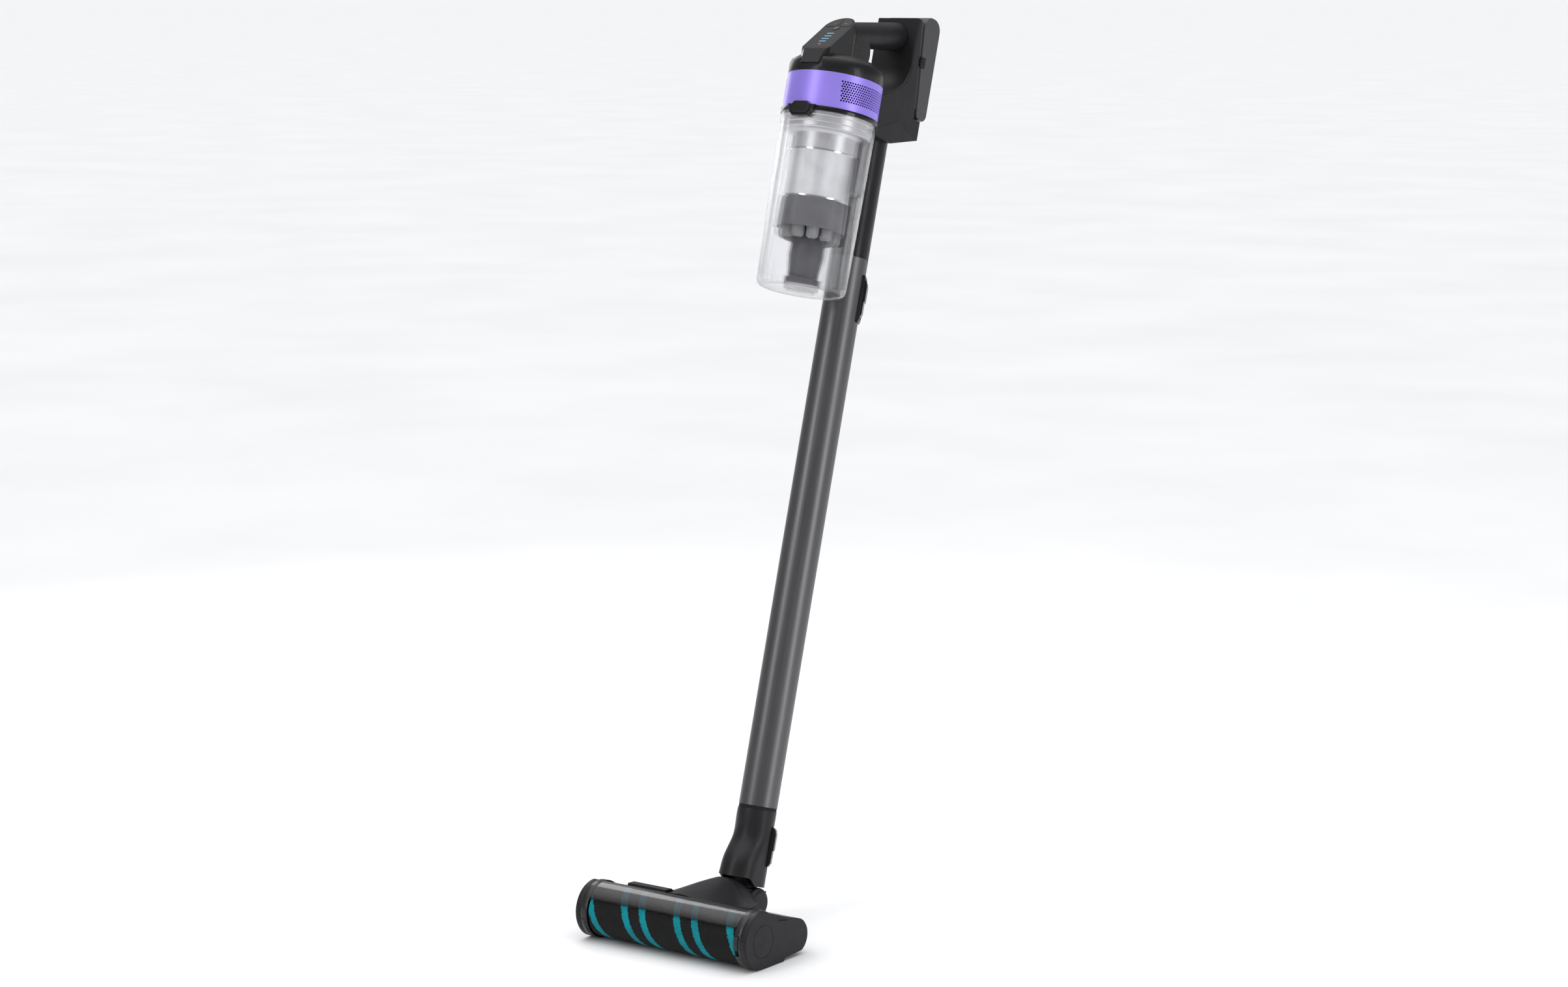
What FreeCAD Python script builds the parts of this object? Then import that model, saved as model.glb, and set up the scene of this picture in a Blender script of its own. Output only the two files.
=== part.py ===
import FreeCAD, Part
import math
import os

# Cordless stick vacuum, millimetres, +Z up.
# The origin lies on the floor in the middle of the sole strip under the floor head.
# The roller and the dust bin face -Y. The stick leans back towards +Y.

# ---- driving dimensions of the floor head ----
HEAD_HALF = 125.0
ROLLER_Y = -38.0
ROLLER_Z = 34.0
RING_R = 34.0
PLUSH_R = 32.0
CORE_R = 24.0
WINDOW_IN_R = 32.4
CAP_X = 117.0
RING_X = 108.0
HEAD_REAR_Y = 50.0
WHEEL_R = 8.0
WHEEL_X = 84.0
WHEEL_Y = 30.0
MOTOR_Y = 24.0
MOTOR_Z = 24.0

# ---- neck: tilt axis along X, swivel axis along the stick ----
NECK_Y = 89.0
NECK_Z = 33.0
LEAN_DEG = 16.2
BARREL_R = 18.5
BARREL_HALF = 27.0
PIN_R = 4.0
SPIGOT_R = 15.0
RUNNING = 0.06
SEAM_Y = 50.0
SEAM_Z = 40.0
SEAM_R = 30.5

# ---- stick: distances measured from the tilt axis along the stick ----
TUBE_R = 23.3
TUBE_WALL = 1.2
TRUNK_TOP = 110.0
KEY_SIDE_DEG = 62.0
GASKET_TOP = 114.0
TUBE_TOP = 783.0
BIN_OFFSET = 88.0
BIN_BOTTOM = 723.0
RIM_BOTTOM = 931.0
BAND_BOTTOM = 937.0
BAND_TOP = 979.0
CAP_TOP = 1003.0
BAND_R = 57.5
BIN_TOP_R = 57.6
RIM_R = 58.5
BIN_LOW_R = 54.2
BIN_WALL = 2.2
BUTTON_HALF = 12.6
BUTTON_LOW = 926.2
BUTTON_HIGH = 940.2
BUTTON_SEAT = 58.1
MESH_R = 39.0
MESH_TOP = 890.0
MESH_LOW = 832.0
CONE_COUNT = 11
HOUSE_HALF = 31.0
HOUSE_TOP = 1088.0
HOUSE_FRONT = -20.0
GRIP_FRONT_R = 15.0
GRIP_REAR_R = 17.5

# ---- battery ----
BATTERY_REAR = -69.0
BATTERY_LOW = 969.0
BATTERY_HIGH = 1096.0
CELL_R = 9.1
CELL_LENGTH = 65.0

GAP = 0.3


def vec(x, y, z):
    return FreeCAD.Vector(x, y, z)


X_AXIS = vec(1, 0, 0)
Y_AXIS = vec(0, 1, 0)
Z_AXIS = vec(0, 0, 1)


# ---- shape helpers ----

def box(x0, x1, y0, y1, z0, z1):
    return Part.makeBox(x1 - x0, y1 - y0, z1 - z0, vec(x0, y0, z0))


def rod(radius, start, length, direction):
    return Part.makeCylinder(radius, length, start, direction)


def rod_x(radius, x0, x1, y=0.0, z=0.0):
    return rod(radius, vec(x0, y, z), x1 - x0, X_AXIS)


def rod_z(radius, z0, z1, x=0.0, y=0.0):
    return rod(radius, vec(x, y, z0), z1 - z0, Z_AXIS)


def pipe_z(outer, inner, z0, z1, x=0.0, y=0.0):
    return rod_z(outer, z0, z1, x, y).cut(rod_z(inner, z0 - 1, z1 + 1, x, y))


def pipe_x(outer, inner, x0, x1, y=0.0, z=0.0):
    return rod_x(outer, x0, x1, y, z).cut(rod_x(inner, x0 - 1, x1 + 1, y, z))


def wire_of(points):
    """Closed wire; an entry that is a pair of points is an arc through the first to the second."""
    edges = []
    here = points[0]
    for item in list(points[1:]) + [points[0]]:
        if isinstance(item, tuple):
            edges.append(Part.Arc(here, item[0], item[1]).toShape())
            here = item[1]
        elif here.distanceToPoint(item) > 1e-6:
            edges.append(Part.makeLine(here, item))
            here = item
    return Part.Wire(edges)


def on_plane(make_point, points):
    """Turn 2-D points, and (middle, end) pairs of them for arcs, into points in space."""
    out = []
    for item in points:
        if isinstance(item[0], tuple):
            out.append((make_point(*item[0]), make_point(*item[1])))
        else:
            out.append(make_point(*item))
    return out


def prism_x(profile, x0, x1):
    """A (y, z) outline pushed along X."""
    wire = wire_of(on_plane(lambda y, z: vec(x0, y, z), profile))
    return Part.Face(wire).extrude(vec(x1 - x0, 0, 0))


def side_prism(profile, x0, x1):
    """A (forward, height) outline of the stick's side view, pushed along X."""
    wire = wire_of(on_plane(lambda n, a: vec(x0, -n, a), profile))
    return Part.Face(wire).extrude(vec(x1 - x0, 0, 0))


def lathe(profile, y=0.0):
    """A (radius, height) outline turned about the vertical line at y."""
    wire = wire_of(on_plane(lambda r, z: vec(r, y, z), profile))
    return Part.Face(wire).revolve(vec(0, y, 0), Z_AXIS, 360)


def bin_lathe(profile):
    return lathe(profile, -BIN_OFFSET)


def polar(radius, degrees, y=0.0, z=0.0):
    """A (y, z) point; 0 degrees is +Y and 90 degrees is +Z."""
    turn = math.radians(degrees)
    return (y + radius * math.cos(turn), z + radius * math.sin(turn))


def arc_band(outer, inner, start, end, y, z):
    """A (y, z) outline of a bent strip between two angles."""
    middle = 0.5 * (start + end)
    return [
        polar(outer, start, y, z),
        (polar(outer, middle, y, z), polar(outer, end, y, z)),
        polar(inner, end, y, z),
        (polar(inner, middle, y, z), polar(inner, start, y, z)),
    ]


def group(solids):
    return Part.makeCompound(solids)


def soften(shape, radius, keep):
    """Round the edges whose middle point passes the test."""
    edges = [e for e in shape.Edges if keep(e.CenterOfMass, e.Length)]
    return shape.makeFillet(radius, edges) if edges else shape


def lean_back(shape):
    """Place a piece of the stick: upright frame at the tilt axis, leaned back and moved to the neck."""
    placed = shape.copy()
    placed.rotate(vec(0, 0, 0), X_AXIS, -LEAN_DEG)
    placed.translate(vec(0, NECK_Y, NECK_Z))
    return placed


# ---- floor head ----

SLOPE_END = (ROLLER_Y + 54, 49.0)
SHOULDER = (ROLLER_Y + 74, 43.5)
REAR_MIDDLE = (HEAD_REAR_Y - 0.6, 25.0)
REAR_LOW = (ROLLER_Y + 76, 5.0)
STEP_Y = 6.0
RAISED_SOLE = 4.0


def end_outline(x, inset):
    """Round front, tapered tail and flat sole; the outer covers of the head follow it."""
    top = ROLLER_Z + RING_R - inset
    return wire_of(on_plane(lambda y, z: vec(x, y, z), [
        (ROLLER_Y, top),
        (SLOPE_END[0] - 0.4 * inset, SLOPE_END[1] - inset),
        (SHOULDER[0] - 0.7 * inset, SHOULDER[1] - inset),
        ((REAR_MIDDLE[0] - inset, REAR_MIDDLE[1]), (REAR_LOW[0] - inset, REAR_LOW[1] + inset)),
        (STEP_Y - 0.5 * inset, RAISED_SOLE + inset),
        (STEP_Y - 4 - 0.5 * inset, inset),
        (ROLLER_Y, inset),
        ((ROLLER_Y - RING_R + inset, ROLLER_Z), (ROLLER_Y, top)),
    ]))


def end_cap(side):
    """Outer end cover with a round hub mark and a small triangular recess."""
    outer = side * HEAD_HALF
    outlines = [end_outline(side * CAP_X, 0), end_outline(outer - side * 1.2, 0), end_outline(outer, 1.0)]
    cap = Part.makeLoft(outlines, True, True)
    start, end = sorted((outer - side * 0.6, outer + side))
    mark = pipe_x(19.4, 18.8, start, end, ROLLER_Y, ROLLER_Z - 1)
    recess = prism_x([(-16, 56.5), (12, 47.3), (-9, 50.5)], *sorted((outer - side * 1.2, outer + side)))
    cap = cap.cut(mark).cut(recess)
    inner = side * CAP_X
    pocket_x = sorted((inner - side, inner + side * 5.5))
    belt_room = rod_x(15.0, *pocket_x, ROLLER_Y, ROLLER_Z)
    belt_room = belt_room.fuse(rod_x(9.5, *pocket_x, MOTOR_Y, MOTOR_Z))
    belt_room = belt_room.fuse(prism_x(belt_hull(15.0, 9.5), *pocket_x))
    return cap.cut(belt_room)


def belt_hull(front_r, rear_r):
    """Straight-sided outline that joins the two pulley circles."""
    run = math.hypot(MOTOR_Y - ROLLER_Y, MOTOR_Z - ROLLER_Z)
    slope = math.degrees(math.atan2(MOTOR_Z - ROLLER_Z, MOTOR_Y - ROLLER_Y))
    spread = math.degrees(math.acos((front_r - rear_r) / run))
    return [
        polar(front_r, slope + spread, ROLLER_Y, ROLLER_Z),
        polar(rear_r, slope + spread, MOTOR_Y, MOTOR_Z),
        polar(rear_r, slope - spread, MOTOR_Y, MOTOR_Z),
        polar(front_r, slope - spread, ROLLER_Y, ROLLER_Z),
    ]


LATCH_TOP = 163.0
LATCH_LOW = 190.0
LATCH_TRAVEL = 12.0


def end_ring_right():
    """Inner ring that carries the roller's drive side, notched for the roller latch."""
    ring = pipe_x(RING_R, PLUSH_R + 0.4, RING_X, CAP_X - 0.1, ROLLER_Y, ROLLER_Z)
    ring = ring.fuse(pipe_x(RING_R - 0.6, 10.2, CAP_X - 3.0, CAP_X - 0.1, ROLLER_Y, ROLLER_Z))
    notch = arc_band(RING_R + 2, PLUSH_R - 1, LATCH_TOP - 1, LATCH_LOW + LATCH_TRAVEL + 2, ROLLER_Y, ROLLER_Z)
    return ring.cut(prism_x(notch, RING_X - 1, CAP_X - 3.2)).removeSplitter()


def roller_latch():
    """Thumb tab in the ring's notch; it turns down about the roller axis to free the roller."""
    tab = prism_x(
        arc_band(RING_R + 0.8, PLUSH_R + 0.5, LATCH_TOP, LATCH_LOW, ROLLER_Y, ROLLER_Z),
        RING_X - 0.5, CAP_X - 3.6)
    ridge_angle = 0.5 * (LATCH_TOP + LATCH_LOW)
    ridge = arc_band(RING_R + 1.6, RING_R, ridge_angle - 3, ridge_angle + 3, ROLLER_Y, ROLLER_Z)
    return tab.fuse(prism_x(ridge, RING_X + 1, CAP_X - 5)).removeSplitter()


def end_ring_left():
    """Open cup on the idle side with a split line and a lower tab."""
    cup = pipe_x(RING_R, PLUSH_R + 0.4, -CAP_X + 0.1, -RING_X, ROLLER_Y, ROLLER_Z)
    cup = cup.fuse(pipe_x(RING_R - 0.6, 6.2, -CAP_X + 0.1, -CAP_X + 3, ROLLER_Y, ROLLER_Z))
    tab = prism_x(
        arc_band(RING_R + 0.9, RING_R - 1, LATCH_LOW, LATCH_LOW + 34, ROLLER_Y, ROLLER_Z),
        -CAP_X + 1, -RING_X - 2)
    return cup.fuse(tab).removeSplitter()


WINDOW_TOP = 100.0
WINDOW_LIP = 147.0


def roller_window():
    """Tinted clear cover over the front top of the roller."""
    pane = prism_x(
        arc_band(RING_R - 0.1, WINDOW_IN_R, WINDOW_TOP, WINDOW_LIP, ROLLER_Y, ROLLER_Z),
        -RING_X + GAP, RING_X - GAP)
    lip = prism_x(
        arc_band(RING_R + 0.5, WINDOW_IN_R, WINDOW_LIP - 2.5, WINDOW_LIP, ROLLER_Y, ROLLER_Z),
        -RING_X + GAP, RING_X - GAP)
    return pane.fuse(lip).removeSplitter()


def top_strip():
    """Low raised strip on the ridge, left of the neck."""
    return prism_x([
        (ROLLER_Y + 2, RING_R + ROLLER_Z - 4),
        (ROLLER_Y + 5, RING_R + ROLLER_Z + 1.4),
        (ROLLER_Y + 16, RING_R + ROLLER_Z + 0.8),
        (ROLLER_Y + 30, RING_R + ROLLER_Z - 9),
    ], -76, -20)


def housing_tail(x0, x1):
    """Filling of the housing between a ring and its end cover."""
    outline = end_outline(x0, 0)
    tail = Part.Face(outline).extrude(vec(x1 - x0, 0, 0))
    tail = tail.cut(box(x0 - 1, x1 + 1, -100, -4, -5, 100))
    tail = tail.cut(box(x0 - 1, x1 + 1, -100, 100, -5, RAISED_SOLE))
    return tail.cut(rod_x(RING_R + 0.2, x0 - 1, x1 + 1, ROLLER_Y, ROLLER_Z))


def head_housing():
    """Upper housing behind the roller, hollow for the brush motor, with a raised strip on top."""
    x0, x1 = -RING_X + 0.1, RING_X - 0.1
    body = prism_x([
        polar(RING_R, WINDOW_TOP - 0.4, ROLLER_Y, ROLLER_Z),
        (polar(RING_R, 95, ROLLER_Y, ROLLER_Z), (ROLLER_Y, ROLLER_Z + RING_R)),
        SLOPE_END,
        SHOULDER,
        (REAR_MIDDLE, REAR_LOW),
        (STEP_Y, RAISED_SOLE),
        (ROLLER_Y + 24, RAISED_SOLE),
    ], x0, x1)
    body = body.fuse(top_strip())
    body = body.cut(rod_x(PLUSH_R + 0.6, x0 - 1, x1 + 1, ROLLER_Y, ROLLER_Z))
    body = body.fuse([housing_tail(-CAP_X + 0.1, x0), housing_tail(x1, CAP_X - 0.1)])
    body = body.cut(rod_x(2.5, 100, CAP_X, MOTOR_Y, MOTOR_Z))
    chamber = prism_x([(2, 8), (2, 44), (SHOULDER[0] - 2, 39), (46, 32), (46, 17), (36, 8)], -102, 102)
    body = body.cut(chamber)
    tail_bay = box(-104, 104, 0, 36, 3.9, 8.5)
    body = body.cut(tail_bay)
    for side in (-1, 1):
        body = body.cut(rod_x(WHEEL_R + 1.2, side * WHEEL_X - 6.5, side * WHEEL_X + 6.5, WHEEL_Y, WHEEL_R))
    return body.cut(box(-11, 11, 30, 60, 0, 11)).removeSplitter()


def wheel_cheeks():
    """Two cheeks per wheel that hold its axle above the sole plate."""
    offsets = [side * WHEEL_X + hand * 8.2 for side in (-1, 1) for hand in (-1, 1)]
    return group([box(x - 1.4, x + 1.4, WHEEL_Y - 4, WHEEL_Y + 4, 7.0, 12.5) for x in offsets])


def head_base():
    """Sole plate with the sole strip, wheel pockets, and the tongue and lug that hold the neck."""
    plate = box(-103.5, 103.5, 0.4, 35.6, RAISED_SOLE - 1.5, 7.5)
    strip = box(-RING_X, RING_X, -4.5, 4.5, 0, RAISED_SOLE)
    strip = strip.cut(rod_x(PLUSH_R + 0.6, -RING_X - 1, RING_X + 1, ROLLER_Y, ROLLER_Z))
    tongue = box(-8, 8, 20, NECK_Y, 2.0, 7.5)
    lug = box(-8, 8, NECK_Y - 8, NECK_Y + 6, 2.0, NECK_Z).fuse(rod_x(9.0, -8, 8, NECK_Y, NECK_Z))
    base = plate.fuse(strip).fuse(tongue).fuse(lug).fuse(wheel_cheeks())
    base = base.cut(rod_x(PIN_R + 0.01, -10, 10, NECK_Y, NECK_Z))
    for side in (-1, 1):
        pocket = box(side * WHEEL_X - 6.5, side * WHEEL_X + 6.5, WHEEL_Y - 10, WHEEL_Y + 10, 0, 12)
        base = base.cut(pocket)
        base = base.cut(rod_x(2.05, side * WHEEL_X - 10, side * WHEEL_X + 10, WHEEL_Y, WHEEL_R))
    return base.removeSplitter()


def neck_hood():
    """Bell-shaped cover in front of the neck joint, round at its rear edge."""
    def bell(y, foot, side, crown, top):
        points = [(-foot[0], foot[1]), (-side[0], side[1]), (-crown[0], crown[1]), (0, top),
                  crown, side, foot]
        curve = Part.BSplineCurve()
        curve.interpolate([vec(x, y, z) for x, z in points])
        return Part.Wire([
            curve.toShape(),
            Part.makeLine(vec(foot[0], y, foot[1]), vec(foot[0], y, 30)),
            Part.makeLine(vec(foot[0], y, 30), vec(-foot[0], y, 30)),
            Part.makeLine(vec(-foot[0], y, 30), vec(-foot[0], y, foot[1])),
        ])
    shell = Part.makeLoft([
        bell(ROLLER_Y + 6, (44, 63.0), (27.3, 65.2), (12, 66.6), 67.6),
        bell(12, (50, 49.0), (31, 60.0), (13.5, 68.2), 69.4),
        bell(SEAM_Y - 0.3, (SEAM_R, 41.0), (27.0, 54.2), (15.4, 66.3), SEAM_Z + SEAM_R),
    ], True, False)
    solid_housing = prism_x([
        (ROLLER_Y - 20, ROLLER_Z),
        (ROLLER_Y - 20, ROLLER_Z + RING_R + 0.05),
        (ROLLER_Y, ROLLER_Z + RING_R + 0.05),
        (SLOPE_END[0], SLOPE_END[1] + 0.05),
        (SHOULDER[0], SHOULDER[1] + 0.05),
        (SHOULDER[0] + 6, SHOULDER[1] - 2.0),
        (HEAD_REAR_Y, 34),
        (HEAD_REAR_Y, 10),
    ], -70, 70)
    hood = shell.cut(solid_housing).cut(top_strip())
    mouth = rod(SEAM_R - 3.0, vec(0, SEAM_Y - 14, SEAM_Z), 20, Y_AXIS)
    hood = hood.cut(mouth).cut(rod_x(BARREL_R + 1.0, -70, 70, NECK_Y, NECK_Z))
    return max(hood.Solids, key=lambda s: s.Volume)


def roller_core():
    """Stiff drum under the plush, with its drive and idle stubs."""
    drum = pipe_x(CORE_R, CORE_R - 2.5, -RING_X + 2, RING_X - 2, ROLLER_Y, ROLLER_Z)
    left = rod_x(CORE_R - 2, -RING_X + 2, -RING_X + 6, ROLLER_Y, ROLLER_Z)
    right = rod_x(CORE_R - 2, RING_X - 6, RING_X - 2, ROLLER_Y, ROLLER_Z)
    stub_left = rod_x(6.0, -CAP_X - 2, -RING_X + 4, ROLLER_Y, ROLLER_Z)
    stub_right = rod_x(10.0, RING_X - 4, CAP_X + 0.2, ROLLER_Y, ROLLER_Z)
    core = drum.fuse([left, right, stub_left, stub_right])
    return core.removeSplitter()


def roller_plush():
    sleeve = pipe_x(PLUSH_R, CORE_R, -RING_X + 1.5, RING_X - 1.5, ROLLER_Y, ROLLER_Z)
    return sleeve


def toothed_pulley(radius, teeth, x0, x1, y, z, bore):
    """Pulley with shallow round grooves between its teeth."""
    wheel = rod_x(radius, x0, x1, y, z)
    grooves = []
    for k in range(teeth):
        grooves.append(rod_x(0.7, x0 - 1, x1 + 1, *polar(radius + 0.2, 360.0 * k / teeth, y, z)))
    wheel = wheel.cut(group(grooves))
    return wheel.cut(rod_x(bore, x0 - 1, x1 + 1, y, z)) if bore else wheel


def roller_pulley():
    return toothed_pulley(12.0, 36, CAP_X + 0.4, CAP_X + 5.0, ROLLER_Y, ROLLER_Z, 0)


def motor_pulley():
    wheel = toothed_pulley(6.0, 18, CAP_X + 0.4, CAP_X + 5.0, MOTOR_Y, MOTOR_Z, 0)
    return wheel.fuse(rod_x(1.5, 60, CAP_X + 0.6, MOTOR_Y, MOTOR_Z)).removeSplitter()


def drive_belt():
    """Toothed belt that runs round both pulleys."""
    def loop(front_r, rear_r, x0, x1):
        front = rod_x(front_r, x0, x1, ROLLER_Y, ROLLER_Z)
        rear = rod_x(rear_r, x0, x1, MOTOR_Y, MOTOR_Z)
        return front.fuse([rear, prism_x(belt_hull(front_r, rear_r), x0, x1)])
    x0, x1 = CAP_X + 0.8, CAP_X + 4.6
    belt = loop(13.6, 7.6, x0, x1)
    return belt.cut(loop(12.4, 6.4, x0 - 1, x1 + 1)).removeSplitter()


def brush_motor():
    """Can motor across the rear chamber, with its end boss and mounting flange."""
    can = rod_x(13.0, 16, 64, MOTOR_Y, MOTOR_Z)
    boss = rod_x(5.0, 64, 68, MOTOR_Y, MOTOR_Z)
    tail = rod_x(5.0, 12, 16, MOTOR_Y, MOTOR_Z)
    motor = can.fuse([boss, tail])
    return motor.cut(rod_x(1.56, 58, 75, MOTOR_Y, MOTOR_Z)).removeSplitter()


def wheel(side):
    """Small floor wheel with a soft round tread."""
    x = side * WHEEL_X
    disc = rod_x(WHEEL_R, x - 4.5, x + 4.5, WHEEL_Y, WHEEL_R)
    disc = soften(disc, 1.5, lambda c, length: length > 40)
    return disc.cut(rod_x(2.0 + RUNNING, x - 5, x + 5, WHEEL_Y, WHEEL_R))


def wheel_axles():
    return group([rod_x(2.0, s * WHEEL_X - 7.5, s * WHEEL_X + 7.5, WHEEL_Y, WHEEL_R) for s in (-1, 1)])


def tilt_pin():
    return rod_x(PIN_R, -22, 22, NECK_Y, NECK_Z)


# ---- neck knuckle: built upright at the tilt axis ----

def neck_knuckle():
    """Barrel on the tilt pin, with a domed shroud, a saddle under the trunk and a hollow swivel spigot."""
    barrel = rod_x(BARREL_R, -BARREL_HALF, BARREL_HALF)
    barrel = soften(barrel, 6.0, lambda c, length: length > 100)
    saddle = side_prism([(-17.5, 4), (-17.5, 15.5), (24, 15.5), (30, 18.0), (33, 10), (17.4, -6)], -20, 20)
    spigot = rod_z(SPIGOT_R, 8, 62)
    body = barrel.fuse([neck_shroud(), saddle, spigot]).removeSplitter()
    body = body.cut(lug_slot())
    body = body.cut(rod_x(PIN_R + RUNNING, -23, 23))
    duct = rod_z(11.0, 30, 70)
    return max(body.cut(duct).Solids, key=lambda s: s.Volume)


def neck_shroud():
    """Shroud that carries the hood's round edge back to the barrel, clear of the turning trunk."""
    def arch(y, half, top, spring, floor):
        return Part.Wire([
            Part.makeLine(vec(-half, y, floor), vec(-half, y, spring)),
            Part.Arc(vec(-half, y, spring), vec(0, y, top), vec(half, y, spring)).toShape(),
            Part.makeLine(vec(half, y, spring), vec(half, y, floor)),
            Part.makeLine(vec(half, y, floor), vec(-half, y, floor)),
        ])
    crown = SEAM_Z + SEAM_R
    outer = Part.makeLoft([
        arch(SEAM_Y + 0.3, SEAM_R, crown, SEAM_Z, 33.2),
        arch(68, 28.6, 65.0, 39.0, 33.2),
        arch(NECK_Y - 1, 26.6, 51.6, 37.0, 33.2)], True, True)
    inner = Part.makeLoft([
        arch(SEAM_Y + 3.0, SEAM_R - 2.6, crown - 3.0, SEAM_Z, 36.0),
        arch(68, 26.0, 62.2, 39.0, 36.0),
        arch(80, 24.0, 54.2, 38.0, 36.0)], True, True)
    shroud = outer.cut(inner)
    shroud.translate(vec(0, -NECK_Y, -NECK_Z))
    shroud.rotate(vec(0, 0, 0), X_AXIS, LEAN_DEG)
    turning = Part.Face(wire_of([
        vec(0, 0, 18.8), vec(26.8, 0, 18.8), vec(32.6, 0, 26.2), vec(35.6, 0, 27.7),
        vec(43.0, 0, 27.7), vec(43.0, 0, 90), vec(0, 0, 90)])).revolve(vec(0, 0, 0), Z_AXIS, 360)
    return shroud.cut(turning)


def lug_slot():
    """Room for the head's lug over the whole tilt travel: round the axis, below and behind."""
    half = 8.6
    room = rod_x(11.0, -half, half)
    reach = 45.0
    start, end = -50.0, 102.0
    steps = 4
    rim = []
    for k in range(steps + 1):
        turn = math.radians(LEAN_DEG + start + (end - start) * k / steps)
        rim.append((-reach * math.sin(turn), -reach * math.cos(turn)))
    sector = side_prism([(0, 0)] + rim, -half, half)
    return room.fuse(sector)


def swivel_nut():
    """Ring on the spigot's end that keeps it in the trunk."""
    return pipe_z(18.0, SPIGOT_R - 0.4, 58.4, 62.4).cut(rod_z(SPIGOT_R, 50, 62))


def swivel_bush():
    """Bearing sleeve in the trunk round the spigot."""
    return pipe_z(20.2, SPIGOT_R + RUNNING, 34, 58)


# ---- trunk and tube ----

def stadium(forward, height, radius):
    """Wire round two equal circles, one on the tube axis and one moved forward."""
    f = max(forward, 0.4)
    return Part.Wire([
        Part.Arc(vec(radius, 0, height), vec(0, radius, height), vec(-radius, 0, height)).toShape(),
        Part.makeLine(vec(-radius, 0, height), vec(-radius, -f, height)),
        Part.Arc(vec(-radius, -f, height), vec(0, -f - radius, height), vec(radius, -f, height)).toShape(),
        Part.makeLine(vec(radius, -f, height), vec(radius, 0, height)),
    ])


TRUNK_FLARE = [(10, 18.6), (26, 18.0), (39, 15.6), (51, 12.6), (64, 6.2), (77, 0.9), (90, 0.4), (110, 0.4)]


def trunk():
    """Lower connector: round at the tube, flared forward over the neck, stepped bottom edge."""
    outer = Part.makeLoft([stadium(f, a, TUBE_R) for a, f in TRUNK_FLARE], True, False)
    inner = Part.makeLoft([stadium(f, a, TUBE_R - 3.0) for a, f in TRUNK_FLARE], True, False)
    shell = outer.cut(inner)
    profile = [(-30, 0), (-30, 19.3), (12, 19.3), (22, 26.8), (26, 28.3), (60, 28.3), (60, 0)]
    below = side_prism(profile, -40, 40)
    shell = shell.cut(below)
    opening = box(-8.0, 8.0, TUBE_R - 6, TUBE_R + 4, 43.8, 92.3)
    return shell.cut(to_key_side(opening))


def to_key_side(shape):
    """Turn a piece from straight behind the tube to the side where the release keys sit."""
    placed = shape.copy()
    placed.rotate(vec(0, 0, 0), Z_AXIS, -KEY_SIDE_DEG)
    return placed


def brush_release():
    """Long push button on the rear flank of the trunk, with a lower step at its foot."""
    r = TUBE_R
    button = side_prism([
        (-r + 0.8, 44.7), (-r - 1.2, 44.7), (-r - 3.4, 49), (-r - 3.6, 63.5),
        (-r - 4.8, 64.5), (-r - 4.8, 84),
        (-r - 3.4, 89), (-r - 0.6, 91.4), (-r + 0.8, 91.4)], -7.4, 7.4)
    button = soften(button, 1.2, lambda c, length: abs(abs(c.x) - 7.4) < 0.05 and c.y > TUBE_R + 1)
    return to_key_side(button)


def gasket_ring():
    return pipe_z(TUBE_R - 0.5, TUBE_R - 3.0, TRUNK_TOP, GASKET_TOP)


def extension_tube():
    return pipe_z(TUBE_R, TUBE_R - TUBE_WALL, GASKET_TOP, TUBE_TOP)


def tube_release():
    """Push button at the top of the tube, on its rear flank, with a lower step at its foot."""
    r = TUBE_R
    base = side_prism([
        (-r - 2.0, 713), (-r - 3.6, 718), (-r - 3.6, 731.5), (-r - 4.9, 732.5), (-r - 4.9, 751),
        (-r - 3.8, 756), (-r - 2.0, 758)], -7.4, 7.4)
    base = soften(base, 0.8, lambda c, length: abs(abs(c.x) - 7.4) < 0.05 and c.y > TUBE_R + 3.4)
    return to_key_side(base)


def tube_release_bracket():
    """Low frame on the tube that guides the release button."""
    frame = side_prism([
        (-TUBE_R + 3, 706), (-TUBE_R - 0.6, 706), (-TUBE_R - 1.8, 711), (-TUBE_R - 1.8, 760),
        (-TUBE_R - 0.6, 764), (-TUBE_R + 3, 764)], -10.2, 10.2)
    frame = frame.cut(rod_z(TUBE_R + 0.02, 690, 790))
    return to_key_side(frame.cut(box(-7.8, 7.8, 0, 60, 712, 759)))


def suction_pipe():
    """Dark pipe behind the bin, from the tube's seam up into the housing."""
    pipe = pipe_z(TUBE_R, TUBE_R - 2.0, TUBE_TOP + 0.2, 948)
    return pipe


# ---- dust bin and cyclone ----

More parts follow.
